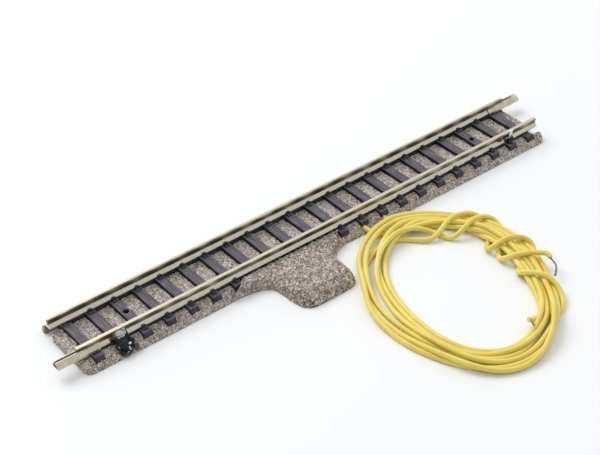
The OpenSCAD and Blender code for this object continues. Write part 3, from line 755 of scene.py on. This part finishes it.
def make_joints():
    # left: a grey fillet in the rail's flank, brown flux beside it, and melted black sealant below
    blob("left_solder", [(-46.3, -5.25, 3.72, 0.36, 1.6, 0.8, 1.0), (-47.3, -5.25, 3.55, 0.40, 2.0, 0.8, 1.0),
                         (-46.7, -5.50, 3.20, 0.50, 1.9, 0.9, 1.1), (-47.5, -5.55, 3.05, 0.42, 1.8, 0.9, 1.0),
                         (-46.2, -5.55, 2.85, 0.40, 1.0, 0.9, 1.2), (-46.9, -5.80, 2.70, 0.36, 2.2, 0.9, 1.0)],
         SOLDER, ("left_solder_joint",), rough=0.02)
    blob("left_flux", [(-48.1, -5.22, 3.55, 0.24, 1.9, 0.5, 1.5), (-47.98, -5.40, 3.05, 0.28, 2.1, 0.8, 1.1)],
         FLUX)
    mass = [(-48.0, -5.98, 2.85, 0.50, 1.1, 1, 0.9), (-48.45, -6.9, 1.95, 0.46), (-45.5, -6.9, 1.9, 0.50),
            (-47.65, -6.25, 2.45, 0.62, 1.5, 1.0, 0.9), (-46.7, -6.35, 2.35, 0.55, 1.4, 0.9, 0.9),
            (-47.3, -6.9, 2.15, 0.62, 1.7, 1.0, 0.8), (-45.9, -6.75, 1.95, 0.48, 1, 1, 1.2),
            (-46.3, -7.3, 1.65, 0.55, 1.1, 1, 1), (-48.3, -7.2, 1.75, 0.50), (-47.2, -7.5, 1.45, 0.62, 1.2, 0.9, 1.1),
            (-48.2, -7.85, 1.05, 0.48), (-46.9, -8.0, 0.85, 0.55, 1.3, 0.8, 1)]
    # small bulges all over it
    for k in range(26):
        a, b = rng.uniform(-1.0, 1.8), rng.uniform(-1.1, 0.9)
        mass.append((-47.3 + a, -6.95 + b, 2.5 - 0.9 * max(0, -b) + 0.15 * b, rng.uniform(0.14, 0.30)))
    blob("left_sealant_mass", mass, SEALANT, ("left_sealant",), voxel=0.06, rounds=2, rough=0.05)
    blob("left_resin_drop", [(-45.35, -7.75, 1.1, 0.60, 1.0, 0.9, 1.0), (-47.5, -8.25, 0.55, 0.40, 2.2, 0.5, 1.0)],
         RESIN)
    # right: solder drawn from the head down over the flank, a brown ring, and a black bead
    blob("right_solder", [(47.9, -5.30, 3.60, 0.28, 1.2, 0.7, 1.6), (47.6, -5.45, 3.0, 0.34, 1.6, 0.9, 1.1),
                          (47.0, -5.40, 3.15, 0.28, 1.8, 0.8, 1)],
         SOLDER, ("right_solder_joint",), rough=0.02)
    line = evenly(np.array([(48.45, -5.02, 4.31), (48.3, -5.34, 4.26), (48.0, -5.50, 3.75), (47.6, -5.62, 3.38),
                            (47.05, -5.66, 3.28), (46.5, -5.70, 3.12), (46.1, -5.72, 2.98)]), 0.2)
    rings = []
    for k, p in enumerate(line):
        wide = np.interp(k / (len(line) - 1), (0, 0.45, 1), (0.46, 0.38, 0.22))
        across = np.array([0.80, -0.15, 0.58]) * wide if k / len(line) > 0.5 else np.array([0.97, -0.05, 0.2]) * wide
        thick = np.array([0.0, -0.07, 0.05])
        rings.append([tuple(p + a * across + b * thick) for a, b in ((-1, -1), (1, -1), (1, 1), (-1, 1))])
    mesh_piece("right_strip_end", *loft(rings), STRIP, "tinned_strip", bevel=0.03)
    ring = [(45.35 + 0.50 * math.cos(t), -5.33, 3.52 + 0.50 * math.sin(t), 0.15)
            for t in np.linspace(0, 2 * math.pi, 18, endpoint=False)]
    blob("right_flux_ring", ring + [(45.6, -5.2, 3.4, 0.3, 1.2, 0.6, 1.2)], FLUX, voxel=0.05, rounds=2)
    beads = [(47.3, -6.0, 2.85, 0.56), (47.0, -6.1, 2.5, 0.34), (47.75, -6.15, 2.5, 0.32), (47.4, -6.5, 2.35, 0.34)]
    blob("right_sealant_bead", beads, SEALANT, ("right_sealant",), rounds=2, rough=0.04)


make_joints()


# ---------- the bed's grains ----------

def sleeper_x(number):
    return (number - (SLEEPERS + 1) / 2) * PITCH


def bed_end(y):
    """How far the bed reaches along X, at a distance y from its middle."""
    over = np.clip(np.abs(y) - (BED_HALF - CORNER), 0, CORNER)
    return END - CORNER + np.sqrt(np.maximum(CORNER ** 2 - over ** 2, 0))


def bed_strip(name, x0, x1, section, width, seed):
    """A strip of stones along the bed. section maps an array, 0 to 1, to Y, Z and the outward directions."""
    def place(u, v):
        y, z, out = section(v)
        x = x0 + u * (x1 - x0)
        rounded = np.clip((np.abs(x) - (END - 3)) / 3, 0, 1)
        x = x - np.sign(x) * rounded * (END - bed_end(y))
        return np.stack([x, y, z], 1), out

    grain_sheet(name, place, (x1 - x0, width), 0.46, 0.25, BALLAST, "ballast", seed,
                lambda g: np.stack([g[:, 0], np.abs(g[:, 1]) - g[:, 2]], 1) + seed * 0.37)


def shoulder(side, along, walk, turns):
    """The section of a shoulder, walked outwards; turns are where it starts and stops to lean, twice."""
    def section(v):
        v = v if side < 0 else 1 - v
        walked = (1 - v) * along[-1]
        tilt = np.interp(walked, turns, (0, math.pi / 4, math.pi / 4, math.pi / 2))
        out = np.stack([0 * v, side * np.sin(tilt), np.cos(tilt)], 1)
        return side * np.interp(walked, along, walk[:, 0]), np.interp(walked, along, walk[:, 1]), out

    return section


def make_ballast():
    middle = 4.3  # half the width between the stringers
    # the stones between the rails stop short of the drilled sleepers
    for k, (x0, x1) in enumerate(((-END, -43.1), (-41.55, 0.0), (0.0, 41.55), (43.1, END))):
        bed_strip(f"ballast_middle_{k}", x0, x1,
                  lambda v: (-middle + 2 * middle * v, BED_MID + 0 * v, np.tile((0.0, 0.0, 1.0), (len(v), 1))),
                  2 * middle, 3)
    # shoulders: the flat beside the rail, the slope and the upright edge, walked from the rail outwards
    walk = np.array([[5.5, BED_TOP], [6.4, BED_TOP], [6.62, 1.46], [7.95, 0.43], [BED_HALF, BED_EDGE], [BED_HALF, 0]])
    along = distances(walk)
    for side, label, parts, seed in ((1, "far", ((-52.45, 0.0), (0.0, END)), 11),
                                     (-1, "near", ((-END, -21.2), (1.0, 52.45)), 17)):
        section = shoulder(side, along, walk, (0.7, 1.2, along[-1] - 0.4, along[-1]))
        for k, (x0, x1) in enumerate(parts):
            bed_strip(f"ballast_{label}_{k}", x0, x1, section, along[-1], seed)
    # the far shoulder's left end and the near shoulder's right end, outside the joiner notches
    outside = along[1:] - along[1]
    for side, label, x0, x1 in ((1, "left", -END, -52.4), (-1, "right", 52.4, END)):
        section = shoulder(side, outside, walk[1:], (0, 0.3, outside[-1] - 0.4, outside[-1]))
        bed_strip(f"ballast_tab_{label}", x0, x1, section, outside[-1], 41)
    # the two ends of the bed, with a gap at each joiner notch
    for end, label, parts in ((-1, "left", ((-7.95, 3.4), (6.4, 7.95))), (1, "right", ((-7.95, -6.4), (-3.4, 7.95)))):
        for k, (y0, y1) in enumerate(parts):
            def place(u, v, end=end, y0=y0, y1=y1):
                v = v if end > 0 else 1 - v
                y = y0 + (y1 - y0) * u
                top = np.interp(np.abs(y), (middle, 4.9, 6.5, BED_HALF), (BED_MID, BED_TOP, BED_TOP, BED_EDGE)) + 0.06
                lean = np.clip((np.abs(y) - (BED_HALF - CORNER)) / CORNER, 0, 0.98)
                out = np.stack([end * np.sqrt(1 - lean ** 2), np.sign(y) * lean, 0 * y], 1)
                return np.stack([end * bed_end(y), y, v * top], 1), out

            grain_sheet(f"ballast_end_{label}_{k}", place, (y1 - y0, 2.0), 0.46, 0.13, BALLAST, "ballast", 23 + k,
                        lambda g: g[:, 1:3])


make_ballast()


# ---------- the mound ----------

MOUND_FOOT = [(-25, -8.05), (-22.5, -8.15), (-20.2, -8.5), (-18.3, -9.1), (-17.1, -10.1), (-16.7, -11.4),
              (-16.5, -13.4), (-16.3, -15.7), (-16, -17.2), (-15.1, -18.4), (-13.4, -18.9), (-6.4, -18.9),
              (-4.5, -18.3), (-3.6, -17.1), (-3.4, -15.5), (-3.2, -12.2), (-2.4, -10.2), (-0.6, -8.8), (2, -8.05)]
MOUND_MID = np.array([-10.3, -6.1])
MOUND_STAGES = [(0.0, 1.0), (1.5, 0.95), (2.35, 0.84)]  # height, share of the foot's size


def make_mound():
    foot = evenly(np.array([(x, y, 0.0) for x, y in MOUND_FOOT]), 0.5)[:, :2]
    length = distances(foot)
    levels, shares = (np.array(c) for c in zip(*MOUND_STAGES))
    edge = 3.2  # walk up the side, in millimetres
    reach = 11.0  # and on over the top to its middle

    def place(u, v):
        at = u * length[-1]
        rim = np.stack([np.interp(at, length, foot[:, k]) for k in (0, 1)], 1)
        tangent = np.stack([np.interp(at, length, np.gradient(foot[:, k])) for k in (0, 1)], 1)
        tangent /= np.linalg.norm(tangent, axis=1, keepdims=True)
        side = np.stack([tangent[:, 1], -tangent[:, 0]], 1)
        walked = v * (edge + reach)
        climb = np.clip(walked / edge, 0, 1)
        height = np.interp(climb, (0, 0.6, 1), levels)
        share = np.interp(climb, (0, 0.6, 1), shares)
        wall = MOUND_MID + share[:, None] * (rim - MOUND_MID)
        inward = np.clip((walked - edge) / reach, 0, 1)
        home = np.stack([MOUND_MID[0] + (u - 0.475) * 22.6, 0 * u - 6.12], 1)
        ground = wall + (home - wall) * inward[:, None]
        tilt = np.interp(climb + inward * 5, (0, 0.5, 0.72, 0.98, 1.15), (1.48, 1.3, 0.9, 0.45, 0.0))
        out = np.hstack([side * np.sin(tilt)[:, None], np.cos(tilt)[:, None]])
        return np.hstack([ground, height[:, None]]), out

    grain_sheet("mound_grains", place, (length[-1], edge + reach), 0.66, 0.28, MOUND, "mound_ballast", 31,
                lambda g: g + 40, step=0.15, sink=-0.03)


make_mound()


# ---------- sleepers ----------

def sleeper(number):
    """Rings of one sleeper, walked along Y."""
    x = sleeper_x(number)
    near = -6.05 if number in CUT_SHORT else -SLEEPER_HALF
    ys = np.concatenate([np.linspace(near, SLEEPER_HALF, 58), [near + 0.06, SLEEPER_HALF - 0.06],
                         [s * RAIL_Y + t for s in (-1, 1) for t in (-1.41, -1.39, 1.39, 1.41)]])
    ys = np.unique(np.round(ys, 3))
    side = [(0.87, 2.24), (0.95, 2.19), (0.98, 2.02), (1.02, 1.6), (1.09, 1.0)]
    top = [(a, SLEEPER_TOP) for a in (-0.62, -0.36, -0.1, 0.15, 0.4, 0.66)]
    profile = np.array([(-a, z) for a, z in side[::-1]] + top + [(0.88, 2.24)] + side[1:])
    rings = []
    for y in ys[(ys >= near) & (ys <= SLEEPER_HALF)]:
        from_end = min(y - near, SLEEPER_HALF - y)
        cap = SLEEPER_TOP - 0.10 * max(0, 1 - from_end / 0.14)
        if number in (1, SLEEPERS) and abs(abs(y) - RAIL_Y) < 1.4:
            cap = 2.0  # the joiners lie over the first and last sleeper
        tight = 1 - 0.05 * max(0, 1 - from_end / 0.12)
        lean = np.zeros(len(profile))
        if number not in CUT_SHORT or y > 0:
            lean = math.copysign(DRAFT, y) * (SLEEPER_TOP - profile[:, 1]) / 1.25 * max(0, 1 - from_end / 0.4)
        ring = np.column_stack([x + profile[:, 0] * tight, y + lean, profile[:, 1]])
        grain = value_noise(np.column_stack([ring[:, 0] * 6, ring[:, 1] * 0.55, ring[:, 2] * 4]), 1.0, number)
        ring[2:14, 2] = np.minimum(ring[2:14, 2], cap) - 0.035 * (1 + grain[2:14])
        ring[1:15, 0] += 0.018 * value_noise(ring[1:15] * (1, 1.2, 2), 0.6, number + 40) * np.sign(profile[1:15, 0])
        rings.append([tuple(p) for p in ring])
    return loft(rings)


def chair(x, y, side, heap, outer):
    """A chair's clip gripping the rail foot, with a small round head outside it."""
    jitter = rng.uniform(-0.03, 0.03, 3)
    section = [(FOOT + 0.03, -0.05, 0.52), (FOOT + 0.03, 0.42, 0.48), (FOOT - 0.14, 0.54, 0.34),
               (FOOT - 0.12, 0.66, 0.28), (FOOT + 0.14, 0.72 + jitter[0], 0.30),
               (FOOT + 0.34, 0.60 + jitter[1], 0.38), (FOOT + 0.46, 0.22, 0.46),
               (FOOT + 0.82, 0.13, 0.50), (FOOT + 0.86, -0.05, 0.52)]
    rings = [[(x + jitter[2] + k * w, y + side * v, SLEEPER_TOP + z) for v, z, w in section] for k in (-1, 1)]
    if side > 0:
        rings.reverse()
    heap.add(*loft(rings))
    if outer:
        head = [[(x + r * math.cos(t), y + side * (FOOT + 0.66) + r * math.sin(t), SLEEPER_TOP + z)
                 for t in np.linspace(0, 2 * math.pi, 10, endpoint=False)]
                for r, z in ((0.24, 0.0), (0.24, 0.22), (0.18, 0.32), (0.07, 0.35))]
        heap.add(*loft(head))


def pad(x, y0, y1, heap):
    """A pad under the rail foot."""
    heap.add(*loft([[(x + a, y, z) for a, z in ((-0.5, 2.2), (0.5, 2.2), (0.5, RAIL_Z - 0.01), (-0.5, RAIL_Z - 0.01))]
                    for y in (y0, y1)]))


def make_sleepers():
    heap, stringers = Heap(), Heap()
    for number in range(1, SLEEPERS + 1):
        if number not in DRILLED:
            heap.add(*sleeper(number))
    # stringers under the rails, with a rough edge towards the ballast; they take the near-black chair plastic, darker
    # than the sleepers, as painted shade under the rail foot
    y0, y1 = STRINGER
    for side in (-1, 1):
        rings = []
        for x in np.arange(sleeper_x(1), sleeper_x(SLEEPERS) + 0.2, 0.21):
            wave = 0.05 * value_noise(np.array([[x, side * 9.0]]), 0.5, 61)[0]
            ring = [(x, side * y, z) for y, z in ((y0 + wave, 1.0), (y0 + wave, 1.95), (y0 + 0.08, 2.0 + wave * 0.4),
                                                  (y1 - 0.08, 2.0 - wave * 0.4), (y1 - wave, 1.95), (y1 - wave, 1.0))]
            rings.append(ring if side > 0 else ring[::-1])
        stringers.add(*loft(rings))
    # painted shade: the stringers are given the near-black chair plastic
    stringers.piece("stringers", CHAIR, "sleeper_plastic")
    heap.piece("sleepers", SLEEPER, "sleeper_plastic", replaced=("sleeper_grid",))
    for number in DRILLED:
        blank = mesh_piece(f"sleeper_{number}_blank", *sleeper(number), SLEEPER, None)
        circle = [(0.6 * math.cos(t), 0.6 * math.sin(t)) for t in np.linspace(0, 2 * math.pi, 32, endpoint=False)]
        points, faces = loft([[(sleeper_x(number) + a, b, z) for a, b in circle] for z in (0.0, 4.0)])
        drill = mesh_piece("drill", points, faces, SLEEPER, None)
        cut = blank.modifiers.new("hole", "BOOLEAN")
        cut.object = drill
        cut.solver = "EXACT"
        declare(placed(f"sleeper_{number}", applied(blank)))
        for spare in (blank, drill):
            bpy.data.objects.remove(spare)
    clips = Heap()
    for number in range(2, SLEEPERS):
        soldered = number in (2, SLEEPERS - 1)  # no room for a chair outside the near rail
        for rail in (-1, 1):
            for side in (-1, 1):
                if rail < 0 and side < 0 and (soldered or number in CUT_SHORT):
                    continue
                chair(sleeper_x(number), rail * RAIL_Y, side, clips, rail * side > 0)
            near_end = -0.15 if rail < 0 and soldered else -FOOT - 0.04
            pad(sleeper_x(number), rail * RAIL_Y + near_end, rail * RAIL_Y + FOOT + 0.04, clips)
    # cleats beside the mound
    cleat = [(1, -6.12, 1.65), (1, -5.56, 1.65), (1, -5.56, 2.34), (0.75, -5.72, 2.60), (0.6, -5.97, 2.64),
             (0.85, -6.12, 2.50)]  # share of the half width, Y, Z
    for number in CUT_SHORT:
        x = sleeper_x(number) + PITCH / 2
        for dx, w in ((0, 0.62), (-PITCH / 2, 0.45)):
            clips.add(*loft([[(x + dx + k * w * share, y, z) for share, y, z in cleat] for k in (-1, 1)]))
    clips.piece("chairs", CHAIR, "sleeper_plastic", smooth=False, bevel=0.05)


make_sleepers()


# ---------- floor and light ----------

def make_stage():
    """A pale floor in a soft tent of light: brightest behind the track to the right, dim on the camera's side."""
    bpy.ops.mesh.primitive_plane_add(size=4)
    floor = bpy.context.object
    floor.name = "floor"
    p = Paint("floor_pale")
    p.set(Base_Color=p.ramp(p.noise(8), (0.3, (0.91, 0.92, 0.935)), (0.7, (0.93, 0.935, 0.945))), Roughness=0.6)
    floor.data.materials.append(p.material)
    world = bpy.data.worlds.new("studio")
    world.use_nodes = True
    tree = world.node_tree
    where = tree.nodes.new("ShaderNodeTexCoord")
    toward = tree.nodes.new("ShaderNodeVectorMath")
    toward.operation = "DOT_PRODUCT"
    tree.links.new(where.outputs["Generated"], toward.inputs[0])
    toward.inputs[1].default_value = (0.48, 0.634, 0.606)
    spread = tree.nodes.new("ShaderNodeMapRange")
    tree.links.new(toward.outputs["Value"], spread.inputs["Value"])
    spread.inputs["From Min"].default_value = -1.0
    tone = tree.nodes.new("ShaderNodeValToRGB")
    tree.links.new(spread.outputs["Result"], tone.inputs["Fac"])
    set_stops(tone, [(at, (level * 0.975, level * 0.985, level))
                     for at, level in ((0.35, 0.43), (0.60, 0.81), (0.80, 0.84), (1.0, 0.91))])
    tree.links.new(tone.outputs["Color"], tree.nodes["Background"].inputs["Color"])
    tree.nodes["Background"].inputs["Strength"].default_value = 1.0
    bpy.context.scene.world = world
    data = bpy.data.lights.new("key", "AREA")
    data.size = 0.36
    data.energy = 1.95
    light = placed("key", data)
    light.location = (-0.08, 0.42, 0.50)
    light.rotation_euler = (-light.location).to_track_quat("-Z", "Y").to_euler()
    bpy.context.scene.view_settings.view_transform = "Standard"


make_stage()
